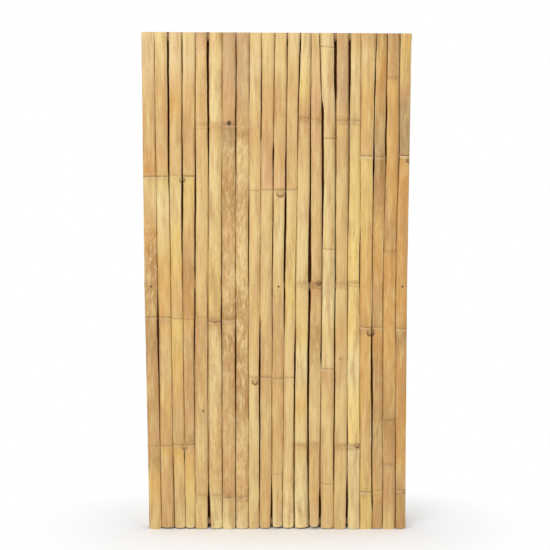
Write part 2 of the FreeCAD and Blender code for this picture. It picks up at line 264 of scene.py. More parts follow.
def corners_of(mesh):
    """The corners of a mesh, as rows of x, y and z."""
    places = np.empty(len(mesh.vertices) * 3)
    mesh.vertices.foreach_get("co", places)
    return places.reshape(-1, 3)


def crossing(node, height):
    """Where a CAD node's edges cross a level plane, as rows of x and y."""
    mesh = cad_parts[node].data
    ends = np.empty(len(mesh.edges) * 2, dtype=int)
    mesh.edges.foreach_get("vertices", ends)
    places = corners_of(mesh)
    a, b = places[ends[0::2]], places[ends[1::2]]
    cut = (a[:, 2] - height) * (b[:, 2] - height) < 0
    a, b = a[cut], b[cut]
    share = ((height - a[:, 2]) / (b[:, 2] - a[:, 2]))[:, None]
    return (a + (b - a) * share)[:, :2]


def end_circle(node, side, top):
    """The culm's axis and radius at one end of a strip, from three corners of the skin's arc there."""
    places = corners_of(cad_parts[node].data)
    level = places[:, 2].max() if top else places[:, 2].min()
    cap = places[np.abs(places[:, 2] - level) < 0.6 * MM]
    outward = cap[:, 1] * side
    corners = [cap[outward.argmax()]]
    for way in (-1, 1):
        reach = (cap[:, 0] * way).max()
        edge = cap[cap[:, 0] * way > reach - 0.3 * MM]
        corners.append(edge[(edge[:, 1] * side).argmax()])
    (ax, ay), (bx, by), (cx, cy) = [corner[:2] for corner in corners]
    scale = 2 * (ax * (by - cy) + bx * (cy - ay) + cx * (ay - by))
    a2, b2, c2 = ax * ax + ay * ay, bx * bx + by * by, cx * cx + cy * cy
    x = (a2 * (by - cy) + b2 * (cy - ay) + c2 * (ay - by)) / scale
    y = (a2 * (cx - bx) + b2 * (ax - cx) + c2 * (bx - ax)) / scale
    return x, y, math.hypot(ax - x, ay - y), level


def ring_heights(node, side):
    """The heights of a strip's rings: where its skin stands out further than just above and just below."""
    levels = np.unique(np.round(corners_of(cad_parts[node].data)[:, 2], 3))
    found = []
    for level in levels[(levels > levels[0] + RING_CLEAR) & (levels < levels[-1] - RING_CLEAR)]:
        here, below, above = [(crossing(node, level + step)[:, 1] * side).max()
                              for step in (0.1 * MM, -RING_CLEAR, RING_CLEAR)]
        if here > max(below, above) + RING_LEAST and (not found or level - found[-1] > 5 * MM):
            found.append(level)
    return found


def formula(tree, text, **known):
    """Works out a written formula with maths nodes. known gives the sockets and numbers that it names."""
    signs = {ast.Add: "ADD", ast.Sub: "SUBTRACT", ast.Mult: "MULTIPLY", ast.Div: "DIVIDE", ast.Pow: "POWER"}

    def built(part):
        if isinstance(part, ast.Constant):
            return part.value
        if isinstance(part, ast.Name):
            return known[part.id]
        if isinstance(part, ast.BinOp):
            operation, parts = signs[type(part.op)], (part.left, part.right)
        else:
            operation, parts = part.func.id.upper(), part.args
        values = {place: built(smaller) for place, smaller in enumerate(parts)}
        return add(tree, "ShaderNodeMath", values, operation=operation).outputs[0]

    return built(ast.parse(text).body[0].value)


def new_group(name, inputs):
    """A geometry tree with a geometry going in and out and these other inputs, and its input sockets."""
    tree = bpy.data.node_groups.new(name, "GeometryNodeTree")
    for word, kind in (("Geometry", "Geometry"), *inputs):
        tree.interface.new_socket(word, in_out="INPUT", socket_type=f"NodeSocket{kind}")
    tree.interface.new_socket("Geometry", in_out="OUTPUT", socket_type="NodeSocketGeometry")
    return tree, add(tree, "NodeGroupInput").outputs


def split_culm_tree():
    """Geometry nodes that turn a line of stations up a strip into the closed strip.

    Each station holds its height, the strip's two edges, the culm's axis and radius, how far the nearest
    ring is and where the nearest bud scar lies. The section runs once along the skin, from edge to edge,
    and back along the inner wall.
    """
    tree, given = new_group("split_culm", (
        ("Wall", "Float"), ("Outward", "Float"), ("Ring height", "Float"), ("Ring tilt", "Float"),
        ("Ring waver", "Float"), ("Bud height", "Float"), ("Edge rounding", "Float"), ("Seed", "Float"),
        ("Skin points", "Int"), ("Wall points", "Int"), ("Skin", "Material"), ("Split wall painted shade", "Material"),
        ("Sawn end", "Material")))

    # The section. Its points hold how far across the strip they lie and whether they are on the inner wall.
    path = add(tree, "GeometryNodeMeshToCurve", {0: given["Geometry"]}).outputs[0]
    counts = {"index": add(tree, "GeometryNodeInputIndex").outputs[0],
              "skin": given["Skin points"], "wall": given["Wall points"]}
    count = formula(tree, "skin + wall", **counts)
    ring = add(tree, "GeometryNodeCurvePrimitiveCircle", {"Resolution": count, "Radius": 1.0}).outputs[0]
    on_wall = formula(tree, "greater_than(index, skin - 0.5)", **counts)
    along_skin = formula(tree, "index / (skin - 1)", **counts)
    along_wall = formula(tree, "1 - (index - skin) / (wall - 1)", **counts)
    share = formula(tree, "along_skin + on_wall * (along_wall - along_skin)",
                    on_wall=on_wall, along_skin=along_skin, along_wall=along_wall)
    for word, value in (("across", share), ("depth", on_wall)):
        ring = add(tree, "GeometryNodeStoreNamedAttribute", {0: ring, 2: word, 3: value},
                   data_type="FLOAT").outputs[0]
    strip = add(tree, "GeometryNodeCurveToMesh", {
        "Curve": path, "Profile Curve": ring, "Fill Caps": True}).outputs[0]

    # Where each point lies across the strip and round the culm's axis.
    held = {word: add(tree, "GeometryNodeInputNamedAttribute", {0: word}, data_type="FLOAT").outputs[0]
            for word in ("across", "depth", "height", "left", "right", "axis_x", "axis_y", "culm_radius",
                         "from_ring", "scar_x", "scar_height", "scar_size")}
    x = formula(tree, "left + across * (right - left)", **held)
    sine = formula(tree, "(x - axis_x) / culm_radius", x=x, **held)
    cosine = formula(tree, "sqrt(1 - sine * sine)", sine=sine)

    # The ring wavers and leans a little. On the far side of its sharp ridge the skin swells again.
    spot = add(tree, "ShaderNodeCombineXYZ", {0: x, 1: held["height"], 2: given["Seed"]}).outputs[0]
    wave = add(tree, "ShaderNodeTexNoise", {"Vector": spot, "Scale": 1 / (25 * MM), "Detail": 1.0}).outputs[0]
    from_ring = formula(tree, "from_ring + (across - 0.5) * tilt + (wave - 0.5) * waver",
                        wave=wave, tilt=given["Ring tilt"], waver=given["Ring waver"], **held)
    reach = add(tree, "ShaderNodeMapRange", {0: from_ring, 1: -RING_REACH, 2: RING_REACH}).outputs[0]
    swell = add(tree, "ShaderNodeFloatCurve", {1: reach})
    shape = swell.mapping.curves[0]
    for place, height in ((0.25, 0.05), (0.38, 0.22), (0.44, 0.45), (0.465, 0.95), (0.485, 1.0),
                          (0.505, 0.5), (0.535, 0.2), (0.56, 0.42), (0.66, 0.18), (0.8, 0.02)):
        shape.points.new(place, height)
    shape.points[0].location = (0.0, 0.0)
    shape.points[-1].location = (1.0, 0.0)
    swell.mapping.update()

    # A bud left a low round bump. The long edges are rounded off, and the wall is even.
    from_bud = formula(
        tree, "((x - scar_x) / scar_size) ** 2 + ((height - scar_height) / scar_size) ** 2", x=x, **held)
    raised = formula(
        tree, "swell * ring + exponent(0 - 1.5 * from_bud) * bud", swell=swell.outputs[0], from_bud=from_bud,
        ring=given["Ring height"], bud=given["Bud height"])
    radius = formula(
        tree, "culm_radius + raised - rounding * (2 * absolute(across - 0.5)) ** 22 - wall * depth",
        raised=raised, rounding=given["Edge rounding"], wall=given["Wall"], **held)
    polar = {"radius": radius, "sine": sine, "cosine": cosine, "outward": given["Outward"]}
    place = add(tree, "ShaderNodeCombineXYZ", {
        0: formula(tree, "axis_x + radius * sine", **polar, **held),
        1: formula(tree, "axis_y + radius * cosine * outward", **polar, **held),
        2: held["height"]}).outputs[0]
    strip = add(tree, "GeometryNodeSetPosition", {0: strip, 2: place}).outputs[0]
    strip = add(tree, "GeometryNodeStoreNamedAttribute", {0: strip, 2: "from_ring", 3: from_ring},
                data_type="FLOAT").outputs[0]
    inside_out = formula(tree, "less_than(outward, 0)", **polar)
    strip = add(tree, "GeometryNodeFlipFaces", {0: strip, 1: inside_out}).outputs[0]

    # Smooth along the skin and sharp at the edges and the ends. Only an end has more than six neighbours.
    strip = add(tree, "GeometryNodeSetShadeSmooth", {0: strip, 2: True}, domain="FACE").outputs[0]
    bend = add(tree, "GeometryNodeInputMeshEdgeAngle").outputs[0]
    sharp = formula(tree, "greater_than(bend, limit)", bend=bend, limit=math.radians(55))
    strip = add(tree, "GeometryNodeSetShadeSmooth", {0: strip, 1: sharp, 2: False}, domain="EDGE").outputs[0]
    strip = add(tree, "GeometryNodeRealizeInstances", {0: strip}).outputs[0]
    strip = add(tree, "GeometryNodeSetMaterial", {0: strip, 2: given["Skin"]}).outputs[0]
    inside = formula(tree, "greater_than(depth, 0.1)", **held)
    strip = add(tree, "GeometryNodeSetMaterial", {0: strip, 1: inside, 2: given["Split wall painted shade"]}).outputs[0]
    neighbours = add(tree, "GeometryNodeInputMeshFaceNeighbors").outputs[0]
    cap = formula(tree, "greater_than(neighbours, 6)", neighbours=neighbours)
    strip = add(tree, "GeometryNodeSetMaterial", {0: strip, 1: cap, 2: given["Sawn end"]}).outputs[0]
    add(tree, "NodeGroupOutput", {0: strip})
    return tree


def grow(made, tree, values):
    """Runs a geometry tree on an object with these inputs and keeps the result as its plain mesh."""
    modifier = made.modifiers.new(tree.name, "NODES")
    modifier.node_group = tree
    for item in tree.interface.items_tree:
        if item.in_out == "INPUT" and item.name in values:
            modifier[item.identifier] = values[item.name]
    graph = bpy.context.evaluated_depsgraph_get()
    finished = bpy.data.meshes.new_from_object(made.evaluated_get(graph))
    made.modifiers.remove(modifier)
    made.data = finished


def grain(tree, place, across, along, detail=3.0, roughness=0.5):
    """Noise stretched along a standing culm: across and along are the size of its spots in metres."""
    grid = add(tree, "ShaderNodeMapping", {"Vector": place, "Scale": (1 / across, 1 / across, 1 / along)})
    return add(tree, "ShaderNodeTexNoise", {
        "Vector": grid.outputs[0], "Scale": 1.0, "Detail": detail, "Roughness": roughness}).outputs["Fac"]


def stained(tree, colour, other, pattern, low, high, share, where=1.0):
    """Mixes up to a share of another colour in, rising as a pattern runs from low to high.

    where is a socket that keeps the stain to a part of the skin.
    """
    amount = add(tree, "ShaderNodeMapRange", {0: pattern, 1: low, 2: high, 3: 0.0, 4: share}).outputs[0]
    amount = formula(tree, "amount * where", amount=amount, where=where)
    other = linear(other) if isinstance(other, str) else other
    return add(tree, "ShaderNodeMix", {0: amount, 6: colour, 7: other}, data_type="RGBA").outputs[2]


def bamboo_skin(name, line, band, lip, stain):
    """The hard, waxy skin of a dried culm, never planed: straw to tan, with streaks along the grain.

    line, lip and stain are how strong this culm's dark ring lines, their pale lips and the stains around
    them are, and band is how many millimetres a dark line takes to fade. Real streaks are 1 to 3 mm wide
    and up to a hand long, and are drawn at 4 mm, because finer ones don't show here.
    """
    material, tree = new_material(name)
    place = add(tree, "ShaderNodeTexCoord").outputs["Object"]
    held = {word: add(tree, "ShaderNodeAttribute", attribute_name=word).outputs["Fac"]
            for word in ("across", "from_ring", "ring_mark", "scar_x", "scar_height", "scar_size",
                         "scar_mark", "weather")}
    colour = add(tree, "ShaderNodeAttribute", attribute_name="skin_colour").outputs["Color"]

    # Broad clouds, paler and browner than the strip, then wide and narrow streaks and pores.
    cloud = grain(tree, place, 34 * MM, 170 * MM, 5.0, 0.62)
    colour = stained(tree, colour, "#BC925A", cloud, 0.5, 0.68, 0.75)
    colour = stained(tree, colour, "#E6CB86", cloud, 0.49, 0.32, 0.5)
    stripe = grain(tree, place, 9 * MM, 140 * MM)
    colour = stained(tree, colour, "#B4874A", stripe, 0.54, 0.74, 0.55)
    colour = stained(tree, colour, "#E9CF92", stripe, 0.45, 0.28, 0.4)
    streak = grain(tree, place, 4 * MM, 120 * MM, 4.0, 0.55)
    colour = stained(tree, colour, "#A87E4A", streak, 0.54, 0.78, 0.45)
    colour = stained(tree, colour, "#EBD29A", streak, 0.44, 0.28, 0.3)
    pores = grain(tree, place, 2.5 * MM, 9 * MM, 2.0)
    colour = stained(tree, colour, "#9C7444", pores, 0.64, 0.74, 0.3)

    # Weather: pale flecks where the wax has gone and brown patches where mould has grown.
    spots = grain(tree, place, 8 * MM, 30 * MM, 6.0, 0.7)
    colour = stained(tree, colour, "#A47A4C", spots, 0.48, 0.36, 0.65, held["weather"])
    colour = stained(tree, colour, "#E8D09A", spots, 0.52, 0.62, 0.7, held["weather"])

    # The stain around a ring, then the dark line of the sheath scar with its pale, waxy lip, and a fainter
    # line past the lip. Their ramp spans so many millimetres either side of the ring.
    span = 24
    near = formula(tree, "ring_mark * minimum(1, maximum(0, (reach - absolute(from_ring)) / fade))",
                   reach=19 * MM, fade=13 * MM, **held)
    smudge = grain(tree, place, 22 * MM, 8 * MM, 4.0, 0.6)
    colour = stained(tree, colour, "#98682F", smudge, 0.3, 0.62, stain, near)
    across_ring = add(tree, "ShaderNodeMapRange", {
        0: held["from_ring"], 1: -span * MM, 2: span * MM}).outputs[0]
    marks = set_stops(add(tree, "ShaderNodeValToRGB", {0: across_ring}), [
        (0.5 + distance / (2 * span), code, share) for distance, code, share in (
            (-16, "#8A5C30", 0.0), (-13.5, "#8A5C30", 0.6 * stain), (-11, "#E8D0A0", 0.1 * lip),
            (-4, "#ECD6A8", 0.8 * lip), (-1, "#E8D0A0", lip), (0.2, "#6E4220", line),
            (1.6, "#6E4220", 0.9 * line), (2.4, "#7A4E28", 0.5 * line), (band, "#8A5C30", 0.35 * line),
            (band + 3, "#8A5C30", 0.0))])
    shown = formula(tree, "marked * ring_mark", marked=marks.outputs[1], **held)
    worn = grain(tree, place, 9 * MM, 9 * MM)
    colour = stained(tree, colour, marks.outputs[0], worn, 0.05, 0.55, 1.0, shown)

    # A bud scar hangs from its ring like a tongue, with a dark outline that is darkest round its tip. Its
    # ramp reaches out to twice its size.
    spot = add(tree, "ShaderNodeSeparateXYZ", {0: place}).outputs
    torn = grain(tree, place, 7 * MM, 7 * MM)
    drop = formula(tree, "(scar_height - z) / scar_size", z=spot[2], **held)
    from_scar = formula(tree, "sqrt(((x - scar_x) / scar_size) ** 2 + 0.7 * drop * drop) + torn - 0.5",
                        x=spot[0], drop=drop, torn=torn, **held)
    reach = formula(tree, "from_scar / 2", from_scar=from_scar)
    scar = set_stops(add(tree, "ShaderNodeValToRGB", {0: reach}), [
        (0.0, "#6B4826", 0.35), (0.14, "#8A6236", 0.35), (0.26, "#A67E50", 0.4), (0.36, "#96703E", 0.5),
        (0.45, "#664020", 0.85), (0.53, "#6E4A26", 0.7), (0.64, "#9A7040", 0.25), (0.85, "#A67C4A", 0.0)])
    shown = formula(
        tree, "minimum(1, scar_mark * marked * (0.65 + 0.4 * minimum(1, maximum(0 - 1, drop))))",
        marked=scar.outputs[1], drop=drop, **held)
    colour = add(tree, "ShaderNodeMix", {
        0: shown, 6: colour, 7: scar.outputs[0]}, data_type="RGBA").outputs[2]

    # The plainest scars are rotten knots, black all through.
    rotten = formula(tree, "minimum(1, maximum(0, scar_mark - 2) * maximum(0, 1.5 - from_scar))",
                     from_scar=from_scar, **held)
    colour = add(tree, "ShaderNodeMix", {
        0: rotten, 6: colour, 7: linear("#3A2610")}, data_type="RGBA").outputs[2]

    # The two edges: a pale painted highlight in places and dark painted shade of the joints in others.
    rim = formula(tree, "minimum(1, maximum(0, (absolute(across - 0.5) - 0.43) / 0.06))", **held)
    long = grain(tree, place, 30 * MM, 120 * MM)
    colour = stained(tree, colour, "#EED9A8", long, 0.52, 0.66, 0.5, rim)
    colour = stained(tree, colour, "#86501F", long, 0.56, 0.4, 0.55, rim)

    fibre = grain(tree, place, 1.2 * MM, 60 * MM)
    rough = formula(tree, "0.4 + 0.375 * (streak - 0.3)", streak=streak)
    relief = formula(tree, "0.5 * fibre + streak", fibre=fibre, streak=streak)
    bump = add(tree, "ShaderNodeBump", {"Height": relief, "Strength": 0.5, "Distance": 0.35 * MM})
    shader = add(tree, "ShaderNodeBsdfPrincipled", {
        "Base Color": colour, "Roughness": rough, "IOR": 1.5, "Normal": bump.outputs[0]})
    add(tree, "ShaderNodeOutputMaterial", {0: shader.outputs[0]})
    return material


def split_wall_painted_shade():
    """The split sides and the inside of a culm's wall: dull and fibrous, brown darkened as painted shade in the
    gaps.
    """
    material, tree = new_material("split_bamboo_wall_painted_shade")
    place = add(tree, "ShaderNodeTexCoord").outputs["Object"]
    fibre = grain(tree, place, 1.4 * MM, 110 * MM, 4.0)
    # These browns are darker than the wall's own: painted shade for the dark in the gaps between and behind the
    # strips.
    ramp = set_stops(add(tree, "ShaderNodeValToRGB", {0: fibre}), [
        (0.3, "#52260B"), (0.5, "#7C4116"), (0.75, "#A35E24")])
    bump = add(tree, "ShaderNodeBump", {"Height": fibre, "Strength": 0.8, "Distance": 0.4 * MM})
    shader = add(tree, "ShaderNodeBsdfPrincipled", {
        "Base Color": ramp.outputs[0], "Roughness": 0.85, "IOR": 1.5, "Normal": bump.outputs[0]})
    add(tree, "ShaderNodeOutputMaterial", {0: shader.outputs[0]})
    return material


def station_heights(foot, head, rings):
    """Heights up a strip: evenly spaced, and close together at each ring and at the rounded foot."""
    heights = [foot + offset * MM for offset in FOOT_OFFSETS]
    heights += list(np.arange(foot + PLAIN_STEP, head - PLAIN_STEP / 2, PLAIN_STEP)) + [head]
    for ring in rings:
        heights = [height for height in heights if abs(height - ring) > RING_ROOM or height in (foot, head)]
        heights += [ring + offset * MM for offset in RING_OFFSETS if foot < ring + offset * MM < head]
    return np.array(sorted(heights))


def ragged(chance, heights, size):
    """A wavy edge: a few slow waves of random phase, together up to about size high."""
    total = np.zeros(len(heights))
    for length, share in ((420 * MM, 0.6), (130 * MM, 0.3), (38 * MM, 0.2)):
        total += share * np.sin(2 * math.pi * heights / length + chance.uniform(0, 2 * math.pi))
    return total * size


# The colours that dried bamboo takes, from fresh and sunless to old and damp.
TONES = {
    # pale and ivory also serve as painted light at the feet of some front strips.
    "pale": "#EAD59A", "cream": "#E1C789", "straw": "#DBBA7B", "lemon": "#DEBD6E", "green": "#D6BA73",
    "ochre": "#D7AB5D", "tan": "#D1A769", "pink": "#D2A573", "orange": "#CE9B51", "sand": "#C59960",
    "amber": "#C68F45", "brown": "#B3864A", "grey": "#A78458", "umber": "#A2763E", "bone": "#DFC18C",
    "dusty": "#C29C6E", "butter": "#EFCF7E", "ivory": "#F8DFA0",
}


def colours_up(heights, stops):
    """The skin's colour at each height, from pairs of a height in millimetres and a tone's name."""
    places = [height * MM for height, _ in stops]
    tones = np.array([linear(TONES[tone])[:3] for _, tone in stops])
    return np.stack([np.interp(heights, places, tones[:, channel]) for channel in range(3)], axis=1)


def split_strip(node, side, culm, rings, heights, edges, colours, weather, scars, chance):
    """Makes a strip in place of its CAD node.

    culm is its skin, its slot, which is not used, and which way up it was nailed. rings are heights
    and how plainly each ring is marked. scars are places across and up the strip in millimetres, sizes
    and how plain each is.
    """
    skin, slot, way = culm
    foot_x, foot_y, foot_radius, foot = end_circle(node, side, False)
    head_x, head_y, head_radius, head = end_circle(node, side, True)
    share = (heights - foot) / (head - foot)
    rings = np.array(rings)
    from_rings = heights[:, None] - rings[None, :, 0]
    nearest = np.abs(from_rings).argmin(axis=1)
    scars = np.array(scars or [(0, -1000, 1, 0)])
    beside = scars[np.abs(heights[:, None] - scars[None, :, 1] * MM).argmin(axis=1)]
    columns = {
        "height": heights,
        "left": edges[0],
        "right": edges[1],
        "axis_x": foot_x + (head_x - foot_x) * share,
        "axis_y": foot_y + (head_y - foot_y) * share,
        "culm_radius": foot_radius + (head_radius - foot_radius) * share,
        "from_ring": way * from_rings[np.arange(len(heights)), nearest],
        "ring_mark": np.where(np.abs(heights - rings[nearest, 0]) < MARK_REACH, rings[nearest, 1], 0),
        "scar_x": beside[:, 0] * MM,
        "scar_height": beside[:, 1] * MM,
        "scar_size": beside[:, 2] * MM,
        "scar_mark": np.where(np.abs(heights - beside[:, 1] * MM) < MARK_REACH, beside[:, 3], 0),
        "weather": weather,
    }
    mesh = bpy.data.meshes.new(f"{node}_stations")
    links = [(place, place + 1) for place in range(len(heights) - 1)]
    mesh.from_pydata([(0, 0, height) for height in heights], links, [])
    for word, values in columns.items():
        mesh.attributes.new(word, "FLOAT", "POINT").data.foreach_set("value", list(values))
    mesh.attributes.new("skin_colour", "FLOAT_VECTOR", "POINT").data.foreach_set("vector", colours.ravel())
    made = placed(f"{node}_split", mesh)
    grow(made, strip_tree, {
        "Wall": STRIP_WALL, "Outward": side, "Ring height": RING_HEIGHT,
        "Ring tilt": chance.uniform(-RING_TILT, RING_TILT), "Ring waver": RING_WAVER,
        "Bud height": BUD_HEIGHT, "Edge rounding": EDGE_ROUNDING, "Seed": chance.uniform(0, 50),
        "Skin points": SKIN_POINTS, "Wall points": WALL_POINTS,
        "Skin": skin, "Split wall painted shade": wall_painted_shade, "Sawn end": sawn_end})
    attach(made, "root")
    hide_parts(node)


wall_painted_shade = split_wall_painted_shade()
strip_tree = split_culm_tree()
rear_skin = bamboo_skin("dried_bamboo_skin_rear", 0.6, 5, 0.4, 0.3)
front_strips = sorted(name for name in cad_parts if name.startswith("front_strip_"))
rear_strips = sorted(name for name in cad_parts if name.startswith("back_strip_"))
front_heads = [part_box(node) for node in front_strips]
head_line = ([(low[0] + high[0]) / 2 for low, high in front_heads], [high[2] for low, high in front_heads])
for number, node in enumerate(rear_strips, 1):
    chance = random.Random(500 + number)
    low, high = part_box(node)
    rings = ring_heights(node, 1)
    # Both faces were sawn off together, so the rear heads follow the line of the front ones.
    head = np.interp((low[0] + high[0]) / 2, *head_line)
    heights = station_heights(low[2], head, rings)
    stops = [(height, chance.choice(("straw", "tan", "tan", "ochre", "pink", "lemon", "brown")))
             for height in range(0, 1801, 300)]
    edges = [low[0] + REAR_GAP_HALF + ragged(chance, heights, REAR_STRAY),
             high[0] - REAR_GAP_HALF - ragged(chance, heights, REAR_STRAY)]
    marks = [(ring, chance.uniform(0.5, 1.1)) for ring in rings]
    culm = (rear_skin, "bamboo_rear", chance.choice((-1, 1)))
    weather = np.full(len(heights), max(0.0, chance.uniform(-0.4, 0.7)))
    split_strip(node, 1.0, culm, marks, heights, edges, colours_up(heights, stops), weather, [], chance)


# The front strips. They are split and nailed like the rear ones, but their edges were dressed by hand, so
# the gaps between them open to 12 mm in places and close elsewhere. The sun bleached them unevenly. The
# second culm from the left stood out in the weather longest, and its skin is mottled.
FOOT_ROUNDING = 6 * MM
EDGE_STRAY = 0.1 * MM

# The culm that each strip was split from, from left to right.
FRONT_CULMS = "AAAABBBBCCCCDDFDDEEGE"

# For each culm: the strength of its ring lines, how many millimetres they take to fade, and the strength of
# their pale lips and of the stains around them.
CULM_LOOKS = {
    "A": (0.85, 5, 0.2, 0.15), "B": (0.4, 5, 0.3, 0.45), "C": (0.85, 7, 0.2, 0.15), "D": (0.5, 8, 0.1, 0.65),
    "E": (0.8, 4, 0.5, 0.25), "F": (0.85, 4.5, 0.4, 0.05), "G": (0.7, 9, 0.1, 0.4),
}

# The gap on the right of each front strip but the last: heights and widths in millimetres. Here and in the
# tables below, what stands at the first and the last height holds to the foot and to the head.
FRONT_GAPS = {
    1: ((0, 0.4), (350, 1.5), (600, 3.2), (740, 7), (860, 3), (900, 0.4), (1300, 0.2)),
    2: ((0, 1), (200, 1.5), (300, 0.5), (900, 0.2), (1200, 0.6), (1330, 5), (1600, 7)),
    3: ((240, 0.4), (262, 2.5), (285, 2.5), (300, 0.3), (980, 0.2), (1060, 4), (1180, 7), (1260, 7),
        (1330, 5), (1450, 2.5), (1800, 3)),
    4: ((0, 0.3), (550, 0.4), (640, 2), (690, 4), (880, 4), (910, 0.4), (960, 4.5), (1250, 5), (1350, 4),
        (1430, 2), (1600, 0.6), (1800, 0.2)),
    5: ((0, 12), (110, 9), (180, 1), (260, 1), (820, 1.5), (860, 0.2), (1270, 0.2), (1330, 3), (1430, 5),
        (1560, 6.5), (1700, 8), (1800, 8.5)),
    6: ((0, 0.3), (180, 0.8), (500, 1.2), (640, 2.5), (800, 4), (880, 2), (1080, 2), (1180, 0.2)),
    7: ((0, 3), (180, 2), (340, 2.3), (450, 2.6), (600, 4.2), (700, 4), (760, 2.5), (820, 0.4), (1200, 0.3),
        (1290, 2), (1430, 3.5), (1800, 2.6)),
    8: ((850, 0.3), (1000, 3), (1150, 2.6), (1250, 0.6), (1800, 0.2)),
    9: ((100, 2), (200, 3.5), (300, 4.5), (560, 5), (620, 6.5), (720, 4.5), (760, 3), (800, 0.2),
        (1400, 0.3), (1430, 3), (1500, 2.5), (1600, 3.5), (1700, 1.2), (1800, 0.8)),
    10: ((0, 8.5), (90, 6), (190, 1), (550, 1), (700, 1.8), (1150, 2.5), (1250, 1.5), (1380, 5),
         (1420, 0.6), (1800, 0.3)),
    11: ((0, 2), (150, 0.6), (550, 0.4), (640, 0.8), (740, 2), (840, 4), (960, 6), (1200, 7), (1240, 4),
         (1330, 5), (1380, 4), (1430, 2), (1530, 1), (1620, 1), (1700, 2), (1800, 4)),
    12: ((0, 4), (180, 3), (350, 3), (450, 4.5), (640, 5.5), (740, 2), (840, 0.5), (1250, 0.2), (1330, 0.6),
         (1430, 2), (1620, 3.5), (1800, 4.5)),
    13: ((0, 0.2), (130, 0.3), (180, 3), (260, 6), (350, 5.5), (460, 6), (640, 7.5), (740, 6.5), (880, 8.5),
         (900, 1), (920, 10), (1000, 11), (1080, 9), (1180, 5.5), (1300, 4), (1540, 2.5), (1580, 0.2)),
    14: ((100, 8), (160, 1.5), (600, 0.3), (640, 5), (700, 3), (760, 0.8), (1000, 0.3), (1060, 3),
         (1150, 4.5), (1250, 7), (1330, 6), (1530, 8), (1570, 2)),
    15: ((120, 0.2), (180, 1.5), (260, 4), (350, 3.5), (540, 3.5), (740, 3), (960, 2), (1060, 0.8),
         (1150, 0.2), (1500, 0.3), (1560, 3), (1610, 9), (1700, 9), (1800, 11)),
    16: ((0, 8), (130, 7), (180, 4), (220, 1), (350, 2.5), (450, 0.3), (1250, 0.2), (1330, 0.6),
         (1500, 1.5), (1570, 4), (1620, 6), (1700, 6), (1800, 8)),
    17: ((0, 0.2), (880, 0.3), (920, 3.5), (1050, 3), (1120, 0.2)),
    18: ((0, 0.2), (60, 0.4), (100, 5), (180, 3), (350, 5), (550, 7), (640, 6), (700, 4), (760, 1.5),
         (840, 0.2), (1200, 0.2), (1270, 3), (1330, 7), (1370, 6), (1430, 3.5), (1530, 3), (1620, 4.5),
         (1700, 2), (1800, 1)),
    19: ((1060, 0.2), (1150, 1), (1330, 0.5), (1380, 5), (1530, 3.5), (1600, 0.4), (1800, 0.2)),
    20: ((0, 0.2), (1800, 0.2)),
}

# The line between two front strips strays to either side, as the grain of the culm does: everywhere by a
# little, and more where it is listed here, as heights and ways to the right in millimetres.
JOINT_SWAY = 1.0 * MM
JOINT_BENDS = {
    2: ((0, 4.5), (100, 2.5), (350, 0.5), (900, -1), (1150, -1), (1330, -3.5), (1430, -2.5), (1530, 0)),
    4: ((0, 0), (180, 2), (350, -1), (550, -2.5), (740, 0), (960, 2), (1150, 2.4), (1800, 2)),
    5: ((0, 1), (150, -1), (260, -3), (740, -2), (900, 0), (1330, 3), (1530, 0)),
    10: ((1430, 1), (1530, 0), (1800, 4)),
    12: ((0, 2), (180, 0), (350, -2), (550, 0), (1430, 0), (1530, -1.5), (1620, 0), (1800, 4)),
    13: ((0, -1), (180, -3), (350, -1), (450, 0), (960, 2), (1150, 1.4), (1800, 1)),
    14: ((450, -1), (740, 1), (960, 2.5), (1060, 4), (1150, 6), (1430, 7.5), (1530, 8), (1620, 2),
         (1700, 0), (1800, -4)),
    15: ((0, 0), (840, 1.5), (960, 3), (1060, 4.5), (1530, 7), (1620, 5), (1800, 4)),
    16: ((0, 0.5), (180, 2.5), (350, 1.5), (740, 1), (1150, 2), (1330, 4), (1430, 4), (1530, 2)),
    18: ((0, 0), (740, -2), (1250, -1.5), (1620, 0), (1700, 1.5), (1800, 5)),
    19: ((0, 0), (640, -2), (1060, -2), (1250, 2.5), (1330, 4), (1430, 1), (1700, 4), (1800, 3)),
    20: ((0, 0), (350, 1.5), (640, 0), (1150, 1), (1330, 5.5), (1430, 6), (1620, 3), (1800, 2.5)),
}
